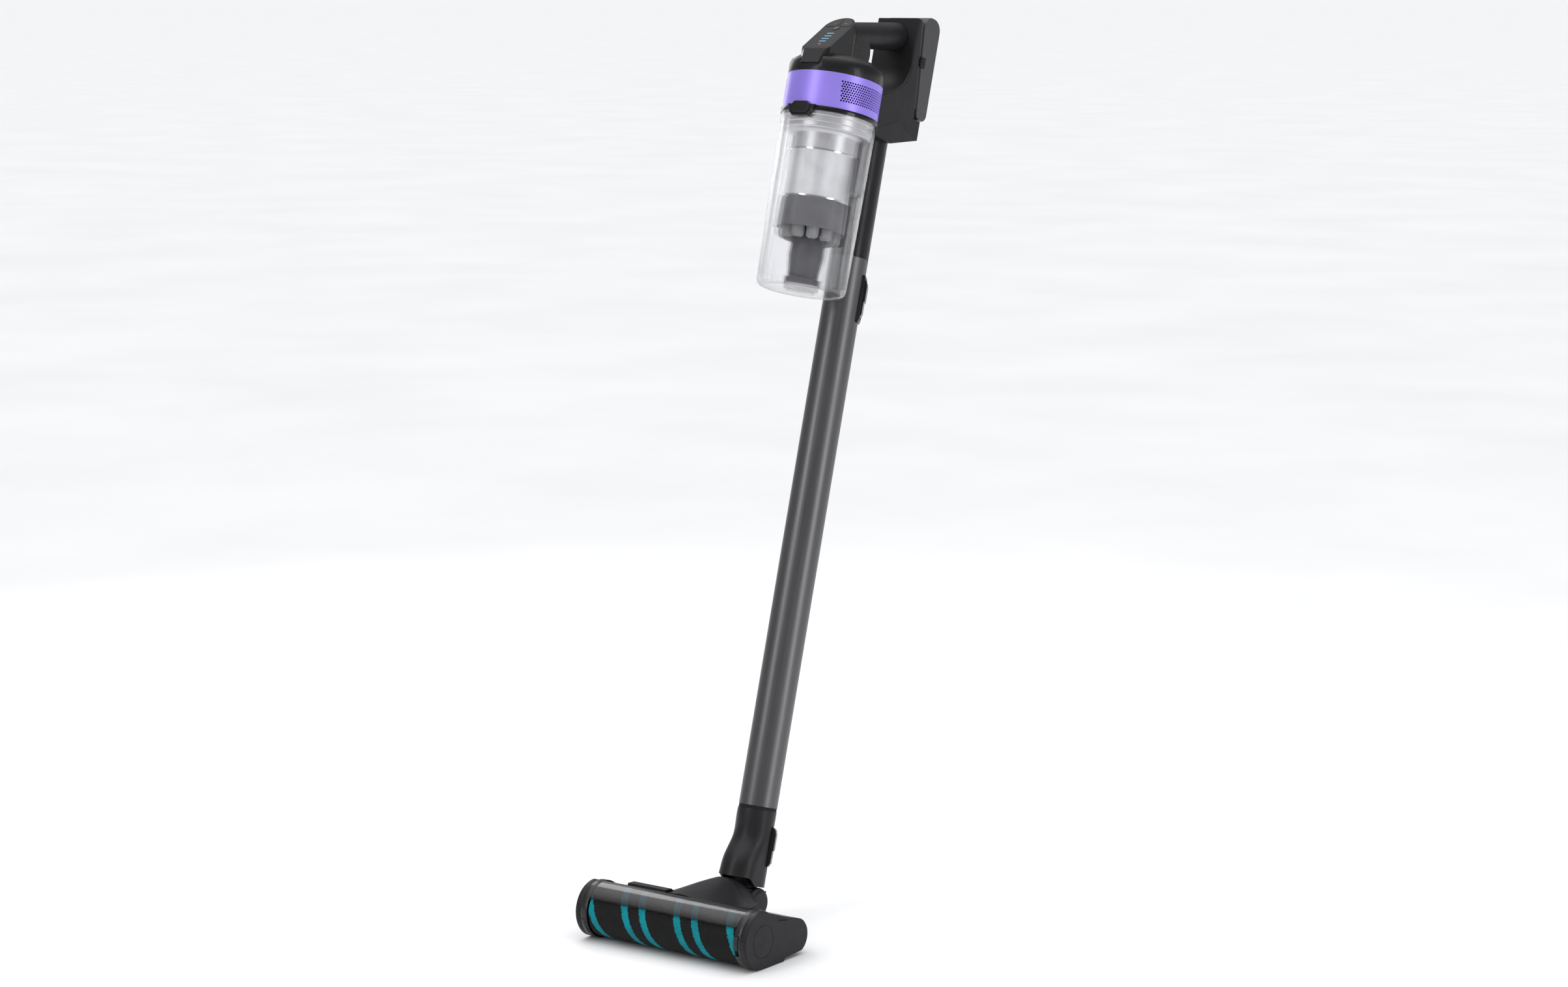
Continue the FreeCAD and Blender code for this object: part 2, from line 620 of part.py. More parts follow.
def bin_cup():
    """Clear tapered cup with a rounded bottom edge, a round mark underneath and a small fin inside."""
    low = BIN_LOW_R
    cup = bin_lathe([
        (0, BIN_BOTTOM), (low - 8, BIN_BOTTOM),
        ((low - 2.3, BIN_BOTTOM + 2.3), (low, BIN_BOTTOM + 8)),
        (BIN_TOP_R, RIM_BOTTOM - 0.1), (BIN_TOP_R - BIN_WALL, RIM_BOTTOM - 0.1),
        (low - BIN_WALL, BIN_BOTTOM + 9),
        ((low - BIN_WALL - 2, BIN_BOTTOM + 4.4), (low - BIN_WALL - 7, BIN_BOTTOM + 2.4)),
        (0, BIN_BOTTOM + 2.4),
    ])
    ring = [(15.0, BIN_BOTTOM + 0.5), (15.0, BIN_BOTTOM - 1.0)]
    ring += [(17.2, BIN_BOTTOM - 1.0), (17.2, BIN_BOTTOM + 0.5)]
    mark = bin_lathe(ring)
    fin_plate = Part.Face(wire_of([
        vec(-49.5, -BIN_OFFSET - 12, BIN_BOTTOM + 2), vec(-49.0, -BIN_OFFSET - 12, BIN_BOTTOM + 36),
        vec(-38, -BIN_OFFSET - 12, BIN_BOTTOM + 17), vec(-33, -BIN_OFFSET - 12, BIN_BOTTOM + 14),
        vec(-33, -BIN_OFFSET - 12, BIN_BOTTOM + 2)])).extrude(vec(0, 1.4, 0))
    rib = box(-33.5, -32, -BIN_OFFSET - 18, -BIN_OFFSET - 4, BIN_BOTTOM + 2, BIN_BOTTOM + 15)
    return cup.fuse([mark, fin_plate, rib]).removeSplitter()


def bin_rim():
    """Dark ring on the bin's mouth, with a boss round the latch and a deeper part at the back."""
    ring = pipe_z(RIM_R, BIN_TOP_R - BIN_WALL, RIM_BOTTOM, BAND_BOTTOM - GAP, 0, -BIN_OFFSET)
    skirt = pipe_z(RIM_R, BIN_TOP_R + 0.05, RIM_BOTTOM - 7, RIM_BOTTOM, 0, -BIN_OFFSET)
    skirt = skirt.common(box(-80, 80, -BIN_OFFSET + 26, 0, 0, 2000))
    front = -BIN_OFFSET - 61.4
    boss = Part.Face(wire_of([
        vec(-11, front, 922.6), vec(11, front, 922.6), vec(15.6, front, 927.2), vec(16.4, front, 932),
        vec(19.5, front, 936.7), vec(-19.5, front, 936.7), vec(-16.4, front, 932),
        vec(-15.6, front, 927.2)])).extrude(vec(0, 12, 0))
    boss = soften(boss, 0.8, lambda c, length: abs(c.y - front) < 0.01)
    boss = boss.cut(rod_z(BIN_TOP_R + 0.05, 900, RIM_BOTTOM, 0, -BIN_OFFSET))
    boss = boss.cut(rod_z(RIM_R - 1.5, 900, 950, 0, -BIN_OFFSET))
    pocket = Part.Face(latch_outline(-BIN_OFFSET - BUTTON_SEAT, GAP)).extrude(vec(0, -20, 0))
    return ring.fuse([skirt, boss]).cut(pocket).removeSplitter()


def latch_outline(y, grow):
    """Octagon of the latch button, seen from the front."""
    half, low, high, cut = BUTTON_HALF + grow, BUTTON_LOW - grow, BUTTON_HIGH + grow, 3.6
    return wire_of([
        vec(-half + cut, y, low), vec(half - cut, y, low), vec(half, y, low + cut),
        vec(half, y, high - cut), vec(half - cut, y, high), vec(-half + cut, y, high),
        vec(-half, y, high - cut), vec(-half, y, low + cut)])


def bin_latch():
    """Octagonal push button at the front, in the boss of the rim and over the foot of the band."""
    face_y = -BIN_OFFSET - BAND_R - 5.0
    depth = BAND_R + 5.0 - BUTTON_SEAT - 1.2
    button = Part.Face(latch_outline(face_y, 0.0)).extrude(vec(0, depth, 0))
    return soften(button, 1.0, lambda c, length: abs(c.y - face_y) < 0.01)


def cyclone_collar():
    """Stepped grey collar that fills the bin's mouth and narrows to the mesh filter."""
    top = BAND_BOTTOM - 0.5
    sleeve = MESH_R + 1.2
    return bin_lathe([
        (MESH_R - 2.2, MESH_TOP + 0.3), (sleeve, MESH_TOP + 0.3), (sleeve, 909), (sleeve + 1.5, 912.5),
        (50.8, 912.5), (52.6, 914.3), (52.6, 919.0), (53.6, 920.0), (53.6, 926.5), (54.6, 927.5),
        (54.6, top), (52.2, top), (52.2, 929.5), (51.0, 921.5), (49.8, 915.2), (sleeve - 0.6, 915.2),
        (MESH_R - 2.2, 911)])


def mesh_filter():
    return pipe_z(MESH_R, MESH_R - 1.4, MESH_LOW, MESH_TOP, 0, -BIN_OFFSET)


def mesh_frame():
    """Slim bright rings that hold the mesh at both ends."""
    return group([
        pipe_z(MESH_R + 0.7, MESH_R + 0.05, MESH_TOP - 1.8, MESH_TOP, 0, -BIN_OFFSET),
        pipe_z(MESH_R + 0.7, MESH_R + 0.05, MESH_LOW, MESH_LOW + 1.8, 0, -BIN_OFFSET)])


def cyclone_skirt():
    """Dark cup under the mesh that widens downwards, with a floor inside that carries the cones."""
    return bin_lathe([
        (MESH_R - 2.0, MESH_LOW - 0.3), (MESH_R + 0.6, MESH_LOW - 0.3), (MESH_R + 1.2, MESH_LOW - 2),
        (40.9, 796),
        (39.5, 796), (39.1, 806), (21.2, 806), (21.2, 810), (38.9, 810), (38.3, 824), (MESH_R - 2.0, 827)])


def cyclone_cones():
    """Ring of small cyclone cones whose rounded tips show under the skirt."""
    cones = []
    for k in range(CONE_COUNT):
        turn = math.radians(8.2 + 360.0 * k / CONE_COUNT)
        cone = lathe([
            (3.0, 783.5), ((5.6, 784.6), (7.6, 788.5)), (8.2, 805.8), (6.6, 805.8), (6.2, 789), (3.0, 786)])
        cone.translate(vec(30.2 * math.sin(turn), -BIN_OFFSET - 30.2 * math.cos(turn), 0))
        cones.append(cone)
    return group(cones)


def dust_tube():
    """Central dust tube that narrows above its foot collar."""
    return bin_lathe([
        (19.0, 725.9), (21.2, 725.9), (21.2, 737.5), (18.4, 739.5), (18.8, 748), (20.9, 765), (20.3, 790),
        (20.3, 824), (18.6, 824), (18.6, 790), (19.2, 765), (17.1, 748), (16.8, 739.5), (17.4, 733)])


def inlet_duct():
    """Duct along the back of the bin that turns the air into the cyclone."""
    duct = pipe_z(51.4, 42.5, 850, 912.2, 0, -BIN_OFFSET)
    outline = wire_of([
        vec(0, -BIN_OFFSET, 840), vec(20, -BIN_OFFSET + 70, 840), vec(60, -BIN_OFFSET + 40, 840)])
    wedge = Part.Face(outline).extrude(vec(0, 0, 90))
    return duct.common(wedge)


# ---- motor unit ----

def main_body():
    """Motor casing inside the band: a wall and a floor with a central air port."""
    wall = pipe_z(BAND_R - 1.7, BAND_R - 4.2, BAND_BOTTOM, BAND_TOP - 0.1, 0, -BIN_OFFSET)
    floor = pipe_z(BAND_R - 4.0, 20.0, BAND_BOTTOM, BAND_BOTTOM + 3, 0, -BIN_OFFSET)
    return wall.fuse(floor).removeSplitter()


def exhaust_band():
    """Metallic sleeve round the motor casing."""
    band = pipe_z(BAND_R, BAND_R - 1.6, BAND_BOTTOM, BAND_TOP - 0.2, 0, -BIN_OFFSET)
    return band.cut(housing_core(0.0))


def motor_can():
    """Suction motor: finned can on the central axis, round its shaft."""
    can = pipe_z(30.0, 27.5, 948, 972, 0, -BIN_OFFSET)
    floor = pipe_z(30.0, 3.0, 972, 975, 0, -BIN_OFFSET)
    stator = pipe_z(24.0, 13.0, 958, 972, 0, -BIN_OFFSET)
    hub_bore = rod_z(13.0, 950, 980, 0, -BIN_OFFSET)
    spokes = [box(-29, 29, -BIN_OFFSET - 1.5, -BIN_OFFSET + 1.5, 968, 973).cut(hub_bore)]
    return can.fuse([floor, stator] + spokes).removeSplitter()


def motor_rotor():
    """Shaft with the magnet core, on the same axis as the impeller."""
    shaft = rod_z(2.5, 944, 976.5, 0, -BIN_OFFSET)
    magnet = rod_z(12.4, 959, 971, 0, -BIN_OFFSET)
    return shaft.fuse(magnet).removeSplitter()


def impeller():
    """Fast fan on the lower end of the shaft."""
    hub = bin_lathe([(2.5, 945), (8, 945), (11, 951), (25.5, 953.5), (25.5, 955), (2.5, 955)])
    blades = []
    for k in range(9):
        blade = box(7, 25, -BIN_OFFSET - 0.6, -BIN_OFFSET + 0.6, 947.5, 953.8)
        blade.rotate(vec(0, -BIN_OFFSET, 0), Z_AXIS, 40 * k)
        blades.append(blade)
    return hub.fuse(blades).removeSplitter()


def motor_mount():
    """Rubber ring that holds the motor can in the casing."""
    return pipe_z(36.0, 30.1, 952, 960, 0, -BIN_OFFSET)


def exhaust_filter():
    """Pleated ring filter between the motor and the perforated band."""
    return pipe_z(BAND_R - 5.0, BAND_R - 12.0, 944, 976, 0, -BIN_OFFSET)


def top_cap():
    """Black cap with a wide bevel round its top edge."""
    cap = bin_lathe([
        (0, CAP_TOP - 1.2), (0, CAP_TOP - 4), (BAND_R - 15, CAP_TOP - 4), (BAND_R - 5, BAND_TOP + 12),
        (BAND_R - 5, BAND_TOP), (BAND_R, BAND_TOP), (BAND_R, BAND_TOP + 13), (BAND_R - 1.5, BAND_TOP + 17),
        (BAND_R - 11, CAP_TOP), (BAND_R - 12.5, CAP_TOP), (BAND_R - 14, CAP_TOP - 1.2)])
    cap = cap.cut(housing_core(0.05))
    for piece in (console_nose(), console_body(), console_leg()):
        cap = cap.cut(piece)
    return max(cap.Solids, key=lambda s: s.Volume)


# ---- console ----

PANEL_FOOT = (140.0, 1006.3)
PANEL_HEAD = (86.0, 1058.0)
PANEL_HALF = 20.4
NOSE_HALF = 15.2
PANEL_TILT = math.degrees(math.atan2(PANEL_HEAD[1] - PANEL_FOOT[1], PANEL_FOOT[0] - PANEL_HEAD[0]))
PANEL_LENGTH = math.hypot(PANEL_FOOT[0] - PANEL_HEAD[0], PANEL_HEAD[1] - PANEL_FOOT[1])


def panel_frame(shape):
    """Place a piece built flat: X across, +Y up along the panel from its foot, +Z out of its face."""
    placed = shape.copy()
    placed.rotate(vec(0, 0, 0), X_AXIS, PANEL_TILT)
    placed.translate(vec(0, -PANEL_FOOT[0], PANEL_FOOT[1]))
    return placed


def panel_outline(inset, z):
    """Outline of the slanted face: corners cut at the foot, round at the top."""
    foot, half, length = NOSE_HALF - inset * 0.8, PANEL_HALF - inset, PANEL_LENGTH - inset
    centre = length - half
    return wire_of([
        vec(-foot, inset, z), vec(foot, inset, z), vec(half, inset + 2.6, z), vec(half, centre, z),
        (vec(0, length, z), vec(-half, centre, z)), vec(-half, inset + 2.6, z)])


def key_wells(grow):
    """Room under the three keys for their travel."""
    wells = [rod_z(POWER_R + GAP + grow, -2.8 - grow, 0, *POWER_CENTRE)]
    for hand in (-1, 1):
        well = Part.Face(key_outline(hand, -2.8 - grow))
        if grow:
            well = well.makeOffset2D(grow)
        wells.append(well.extrude(vec(0, 0, 2.8 + grow)))
    return wells


def console_section(front, rear, radius):
    """Flat-fronted, round-backed outline between a front and a rear point of the side view."""
    half = PANEL_HALF
    slope = (rear[1] - front[1]) / (front[0] - rear[0])
    centre = rear[0] + radius
    height = front[1] + (front[0] - centre) * slope
    return wire_of([
        vec(-half, -front[0], front[1]), vec(half, -front[0], front[1]), vec(half, -centre, height),
        (vec(0, -rear[0], rear[1]), vec(-half, -centre, height))])


def console_body():
    """Body of the console: its back swells behind the slanted face and runs down to the cap."""
    tilt = math.radians(PANEL_TILT)
    front = (PANEL_FOOT[0] - 6 * math.cos(tilt), PANEL_FOOT[1] + 6 * math.sin(tilt))
    return Part.makeLoft([
        console_section(front, PANEL_HEAD, PANEL_HALF * math.cos(tilt)),
        console_section((front[0], front[1] - 9), (PANEL_HEAD[0] - 8, PANEL_HEAD[1] - 11), 16.5),
        console_section((front[0], 985), (72.5, 985), 17.0)], True, True)


def console_nose():
    """Nose block at the front of the console, with a cut corner on each side."""
    def plan(height, front, half):
        return wire_of([
            vec(-half, -front, height), vec(half, -front, height), vec(PANEL_HALF, -137.4, height),
            vec(PANEL_HALF, -118, height), vec(-PANEL_HALF, -118, height), vec(-PANEL_HALF, -137.4, height)])
    return Part.makeLoft([plan(987.8, 146.3, 12.2), plan(1012.0, 138.05, 16.1)], True, True)


def console_leg():
    """Web under the grip, with a bowed rear edge."""
    return side_prism([
        (98, 995), (98, 1030), (82, 1040), (57, 1042.5), ((45.0, 1025), (51.4, 1006)), (51.4, 995)], -13, 13)


def console_pod():
    """Wedge-shaped console that rises from the front of the cap, with a leg under the grip."""
    under_panel = side_prism([
        (160, 960), (160, PANEL_FOOT[1]), PANEL_FOOT, (118, 1027.36), (100, 1027.36), (100, 960)], -22, 22)
    nose = console_nose().common(under_panel)
    above_cap = box(-30, 30, -134, -40, CAP_TOP - 1.2, 1080)
    pod = console_body().fuse(console_leg()).common(above_cap).fuse(nose)
    board_bay = panel_frame(box(-14.5, 14.5, 16, 56, -12, -3.8))
    cavity = side_prism([(128, 1006), (128, 1010.5), (92, 1044), (90, 1006)], -15, 15)
    pod = pod.cut(board_bay).cut(cavity)
    pod = pod.cut(panel_frame(Part.Face(panel_outline(1.6, -1.4)).extrude(vec(0, 0, 5))))
    for well in key_wells(0.0):
        pod = pod.cut(panel_frame(well))
    pod = pod.cut(grip_solid(0.0))
    return max(pod.removeSplitter().Solids, key=lambda s: s.Volume)


POWER_CENTRE = (0.0, 49.5)
POWER_R = 5.2


def key_outline(hand, z):
    """One of the two keys above the power key, on its own side of the seam."""
    return wire_of([
        vec(hand * 1.0, 57.0, z), vec(hand * 6.0, 53.0, z), vec(hand * 17.2, 53.0, z),
        (vec(hand * 12.6, PANEL_LENGTH - 7.2, z), vec(hand * 1.0, PANEL_LENGTH - 3.6, z))])


def display_panel():
    """Glossy face of the console with openings for the three keys."""
    face = Part.Face(panel_outline(1.9, -1.4)).extrude(vec(0, 0, 1.4))
    face = face.cut(rod_z(POWER_R + GAP, -3, 3, *POWER_CENTRE))
    for hand in (-1, 1):
        hole = Part.Face(key_outline(hand, -3)).extrude(vec(0, 0, 6))
        face = face.cut(hole)
    return panel_frame(face)


def power_button():
    key = rod_z(POWER_R, -1.35, 0.5, *POWER_CENTRE)
    return panel_frame(soften(key, 0.4, lambda c, length: abs(c.z - 0.5) < 0.01))


def mode_button(hand):
    """A key a little smaller than its opening."""
    face = Part.Face(key_outline(hand, -1.35))
    key = face.makeOffset2D(-GAP)
    return panel_frame(key.extrude(vec(0, 0, 1.65)))


def control_board():
    board = box(-13.5, 13.5, 17, 55, -7.0, -5.4)
    chips = [box(-8, -1, 24, 32, -5.4, -4.2), box(2, 10, 26, 31, -5.4, -4.4), box(-6, 6, 38, 46, -5.4, -4.0)]
    return panel_frame(board.fuse(chips).removeSplitter())


# ---- grip and rear housing ----

GRIP_FRONT = (84.0, 1038.0)
GRIP_REAR = (HOUSE_FRONT - 3.0, 1065.0)


def grip_solid(grow):
    start = vec(0, -GRIP_FRONT[0], GRIP_FRONT[1])
    end = vec(0, -GRIP_REAR[0], GRIP_REAR[1])
    direction = end.sub(start)
    return Part.makeCone(GRIP_FRONT_R + grow, GRIP_REAR_R + grow, direction.Length, start, direction)


def handle_grip():
    """Slanted round grip between the console and the rear housing."""
    grip = grip_solid(0.0)
    grip = grip.cut(housing_core(0.0))
    for well in key_wells(0.6):
        grip = grip.cut(panel_frame(well))
    return max(grip.Solids, key=lambda s: s.Volume)


def housing_core(grow):
    """Solid side shape of the rear housing: thin at the top, swept forward to the band at its foot."""
    g = grow
    profile = [
        (HOUSE_FRONT + g, HOUSE_TOP + g), (HOUSE_FRONT + g, 1034),
        ((-14.5 + g, 1010 + g), (2 + g, 995 + g)), (44, 973 + g), (44, 929 - g), (-2, 927 - g),
        (-56.5 - g, 944 - g), (-56.5 - g, 967.5 + g), (-44 - g, 967.5 + g), (-28.5 - g, HOUSE_TOP + g)]
    core = side_prism(profile, -HOUSE_HALF - g, HOUSE_HALF + g)
    trim = BAND_R - 1.65 if not g else BAND_R - 1.7 - g
    core = core.cut(rod_z(trim, 900, 1100, 0, -BIN_OFFSET))
    return core.cut(rod_z(RIM_R + 0.35 - g, 900, BAND_BOTTOM, 0, -BIN_OFFSET))


COVER_SEAM = [(36, 935), (27.8, 938.6), (-12.9, 957.9), (-43, 946.5), (-57.5, 946.5)]


def cover_zone(grow):
    """Zone under the seam that belongs to the lower cover."""
    seam = [(n, a + grow) for n, a in COVER_SEAM]
    return side_prism(seam + [(-57.5, 920), (36, 920)], -40, 40)


def rear_housing():
    """C-shaped housing that joins the grip, the motor unit, the battery and the suction pipe."""
    body = housing_core(0.0)
    def along_side(c, length):
        return abs(abs(c.x) - HOUSE_HALF) < 0.1 and -45 < -c.y < 10 and c.z > 990
    body = soften(body, 2.5, along_side)
    body = body.cut(cover_zone(0.2))
    bay = box(-29.3, 29.3, 29.2, 80, 968.5, 1100)
    body = body.cut(bay)
    body = body.cut(rod_z(TUBE_R + 0.02, 900, 949))
    hollow = side_prism([(30, 950), (24, 976), (-2, 986), (-14, 975), (-14, 952)], -27, 27)
    body = body.cut(hollow)
    return max(body.removeSplitter().Solids, key=lambda s: s.Volume)


def lower_cover():
    """Cover under the housing, round the suction pipe."""
    body = housing_core(0.0).common(cover_zone(0.0))
    body = body.cut(rod_z(TUBE_R + 0.02, 900, 990))
    return max(body.removeSplitter().Solids, key=lambda s: s.Volume)


# ---- battery ----

BATTERY_FRONT_LOW = -48.0
BATTERY_FRONT_HIGH = -33.0


def battery_pack():
    """Slab with round ends seen from the side, and a narrower inner block; hollow for the cells."""
    rear, low, high = BATTERY_REAR, BATTERY_LOW, BATTERY_HIGH
    slab = side_prism([(rear, low), (BATTERY_FRONT_LOW, low), (BATTERY_FRONT_HIGH, high), (rear, high)],
                      -HOUSE_HALF, HOUSE_HALF)
    slab = soften(slab, 9.0, lambda c, length: abs(c.x) < 0.1 and c.z < low + 1)
    slab = soften(slab, 15.0, lambda c, length: abs(c.x) < 0.1 and c.z > high - 1)
    slab = soften(slab, 2.0, lambda c, length: abs(abs(c.x) - HOUSE_HALF) < 0.1)
    block = side_prism([
        (-60, low + 12), (-29.6, low + 12), (-29.6, high - 10), (-60, high - 10)], -28.6, 28.6)
    pack = slab.fuse(block)
    cells = box(-27.9, 27.9, 30.6, 67.6, 1010, 1010 + CELL_LENGTH + 1)
    pack = pack.cut(cells)
    for side in (-1, 1):
        pack = pack.cut(latch_slot(side))
    return pack.removeSplitter()


def battery_cells():
    cells = []
    for column in (-1, 0, 1):
        for row in (40.2, 58.5):
            cells.append(rod_z(CELL_R, 1010.5, 1010.5 + CELL_LENGTH, column * 18.4, row))
    return group(cells)


KEY_LOW_A = 1031.8
KEY_HIGH_A = 1044.2


def latch_slot(side):
    x0, x1 = sorted((side * 28.6, side * 33.0))
    return box(x0, x1, 35.6, 47.2, KEY_LOW_A - 0.4, KEY_HIGH_A + 0.4)


def battery_latch(side):
    """Side push button with three grip ridges."""
    x0, x1 = sorted((side * 30.0, side * 31.0))
    key = box(x0, x1, 36.2, 46.6, KEY_LOW_A, KEY_HIGH_A)
    ridges = [rod(1.1, vec(side * 31.2, 36.0, KEY_LOW_A + 2.2 + 4.0 * k), 10.4, Y_AXIS) for k in range(3)]
    return key.fuse(ridges).removeSplitter()


# ---- all pieces ----

def head_pieces():
    return {
        "head_housing": head_housing(),
        "head_base": head_base(),
        "neck_hood": neck_hood(),
        "roller_window": roller_window(),
        "end_cap_left": end_cap(-1),
        "end_cap_right": end_cap(1),
        "end_ring_left": end_ring_left(),
        "end_ring_right": end_ring_right(),
        "roller_latch": roller_latch(),
        "roller_core": roller_core(),
        "roller_plush": roller_plush(),
        "roller_pulley": roller_pulley(),
        "motor_pulley": motor_pulley(),
        "drive_belt": drive_belt(),
        "brush_motor": brush_motor(),
        "wheel_left": wheel(-1),
        "wheel_right": wheel(1),
        "wheel_axles": wheel_axles(),
        "tilt_pin": tilt_pin(),
    }


def stick_pieces():
    return {
        "neck_knuckle": neck_knuckle(),
        "swivel_nut": swivel_nut(),
        "swivel_bush": swivel_bush(),
        "trunk": trunk(),
        "brush_release_button": brush_release(),
        "gasket_ring": gasket_ring(),
        "extension_tube": extension_tube(),
        "tube_release_button": tube_release(),
        "tube_release_frame": tube_release_bracket(),
        "suction_pipe": suction_pipe(),
        "bin_cup": bin_cup(),
        "bin_rim": bin_rim(),
        "bin_latch_button": bin_latch(),
        "cyclone_collar": cyclone_collar(),
        "mesh_filter": mesh_filter(),
        "mesh_frame": mesh_frame(),
        "cyclone_skirt": cyclone_skirt(),
        "cyclone_cones": cyclone_cones(),
        "dust_tube": dust_tube(),
        "inlet_duct": inlet_duct(),
        "motor_casing": main_body(),
        "exhaust_band": exhaust_band(),
        "motor_can": motor_can(),
        "motor_rotor": motor_rotor(),
        "impeller": impeller(),
        "motor_mount": motor_mount(),
        "exhaust_filter": exhaust_filter(),
        "top_cap": top_cap(),
        "console_pod": console_pod(),
        "display_panel": display_panel(),
        "power_button": power_button(),
        "mode_button_left": mode_button(-1),
        "mode_button_right": mode_button(1),
        "control_board": control_board(),
        "handle_grip": handle_grip(),
        "rear_housing": rear_housing(),
        "lower_cover": lower_cover(),
        "battery_pack": battery_pack(),
        "battery_cells": battery_cells(),
        "battery_latch_left": battery_latch(-1),
        "battery_latch_right": battery_latch(1),
    }


def main():
    os.makedirs("parts", exist_ok=True)
    pieces = dict(head_pieces())
    for name, shape in stick_pieces().items():
        pieces[name] = lean_back(shape)
    for name, shape in pieces.items():
        shape.exportStep("parts/" + name + ".step")


main()
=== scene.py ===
import math

import bmesh
import bpy
from mathutils import Matrix, Vector
from mathutils.geometry import delaunay_2d_cdt
from mathutils.kdtree import KDTree


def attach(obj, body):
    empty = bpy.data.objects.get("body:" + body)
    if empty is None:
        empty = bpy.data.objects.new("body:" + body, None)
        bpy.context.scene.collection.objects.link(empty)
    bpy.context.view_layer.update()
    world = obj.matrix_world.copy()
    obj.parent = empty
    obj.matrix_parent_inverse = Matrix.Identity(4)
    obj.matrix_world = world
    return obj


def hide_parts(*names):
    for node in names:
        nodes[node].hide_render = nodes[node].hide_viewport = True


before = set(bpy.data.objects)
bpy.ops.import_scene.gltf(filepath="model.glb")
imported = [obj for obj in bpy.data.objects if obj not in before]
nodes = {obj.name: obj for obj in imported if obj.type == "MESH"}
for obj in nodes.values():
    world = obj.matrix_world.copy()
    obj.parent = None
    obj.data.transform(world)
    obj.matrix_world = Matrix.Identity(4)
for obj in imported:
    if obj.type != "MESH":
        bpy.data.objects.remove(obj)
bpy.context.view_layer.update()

# ---- the stick's own frame: z runs along the stick, -y is forward ----
LEAN = math.radians(16.2)
NECK = Vector((0.0, 0.089, 0.033))
STICK = Matrix.Translation(NECK) @ Matrix.Rotation(-LEAN, 4, "X")
PANEL_TILT = math.atan2(51.7, 54.0)
PANEL = STICK @ Matrix.Translation((0, -0.14, 1.0063)) @ Matrix.Rotation(PANEL_TILT, 4, "X")
BIN_Y = -0.088
ROLLER = Vector((0.0, -0.038, 0.034))

# ---- roller stripes: pitch in metres, centres and half width in turns ----
STRIPE_PITCH = 0.077
STRIPE_FIRST = 0.859
STRIPE_SECOND = 0.196
STRIPE_HALF = 0.062

# ---- woven filter: radius and thread spacing in millimetres ----
WEAVE_RADIUS = 39.0
WEAVE_CELL = 0.55


# ---- material helpers ----

def new_look(name):
    material = bpy.data.materials.new(name)
    material.use_nodes = True
    tree = material.node_tree
    return material, tree, tree.nodes["Principled BSDF"]


def object_coords(tree, stick=False, scale=(1, 1, 1)):
    """Object coordinates, turned into the stick's frame on request, then stretched."""
    source = tree.nodes.new("ShaderNodeTexCoord").outputs["Object"]
    if stick:
        straighten = tree.nodes.new("ShaderNodeMapping")
        straighten.vector_type = "TEXTURE"
        straighten.inputs["Location"].default_value = NECK
        straighten.inputs["Rotation"].default_value = (-LEAN, 0, 0)
        tree.links.new(source, straighten.inputs["Vector"])
        source = straighten.outputs["Vector"]
    stretch = tree.nodes.new("ShaderNodeMapping")
    stretch.inputs["Scale"].default_value = scale
    tree.links.new(source, stretch.inputs["Vector"])
    return stretch.outputs["Vector"]


def noise(tree, vector, scale, detail=3.0, roughness=0.55):
    node = tree.nodes.new("ShaderNodeTexNoise")
    node.inputs["Scale"].default_value = scale
    node.inputs["Detail"].default_value = detail
    node.inputs["Roughness"].default_value = roughness
    tree.links.new(vector, node.inputs["Vector"])
    return node.outputs["Fac"]


def ramp(tree, factor, stops):
    node = tree.nodes.new("ShaderNodeValToRGB")
    elements = node.color_ramp.elements
    while len(elements) < len(stops):
        elements.new(0.5)
    for element, (position, color) in zip(elements, stops):
        element.position = position
        element.color = (*color, 1)
    tree.links.new(factor, node.inputs["Fac"])
    return node.outputs["Color"]


def spread(tree, value, low, high, start=0.3, end=0.7):
    node = tree.nodes.new("ShaderNodeMapRange")
    node.inputs["From Min"].default_value = start
    node.inputs["From Max"].default_value = end
    node.inputs["To Min"].default_value = low
    node.inputs["To Max"].default_value = high
    tree.links.new(value, node.inputs["Value"])
    return node.outputs["Result"]


def maths(tree, operation, first, second=None, third=None):
    node = tree.nodes.new("ShaderNodeMath")
    node.operation = operation
    for socket, value in zip(node.inputs, (first, second, third)):
        if value is None:
            continue
        if isinstance(value, (int, float)):
            socket.default_value = value
        else:
            tree.links.new(value, socket)
    return node.outputs["Value"]


def split(tree, vector):
    node = tree.nodes.new("ShaderNodeSeparateXYZ")
    tree.links.new(vector, node.inputs["Vector"])
    return node.outputs


def bump(tree, height, distance):
    node = tree.nodes.new("ShaderNodeBump")
    node.inputs["Strength"].default_value = 1.0
    node.inputs["Distance"].default_value = distance
    tree.links.new(height, node.inputs["Height"])
    return node.outputs["Normal"]


def tint(color, factor):
    return tuple(min(1.0, c * factor) for c in color)


def moulded(name, color, rough=0.38, grain=1400, depth=0.00004, coat=0.0, specular=0.22):
    """Moulded plastic: faint mottling, handling smudges in the gloss and a fine spark-eroded grain."""
    material, tree, shader = new_look(name)
    coords = object_coords(tree)
    cloud = noise(tree, coords, 22, 4)
    stops = [(0.3, tint(color, 0.82)), (0.55, color), (0.75, tint(color, 1.22))]
    tree.links.new(ramp(tree, cloud, stops), shader.inputs["Base Color"])
    smudge = noise(tree, coords, 60, 5, 0.65)
    tree.links.new(spread(tree, smudge, rough - 0.06, rough + 0.08), shader.inputs["Roughness"])
    speckle = noise(tree, coords, grain, 2)
    tree.links.new(bump(tree, speckle, depth), shader.inputs["Normal"])
    shader.inputs["Specular IOR Level"].default_value = specular
    shader.inputs["Coat Weight"].default_value = coat
    shader.inputs["Coat Roughness"].default_value = 0.08
    return material


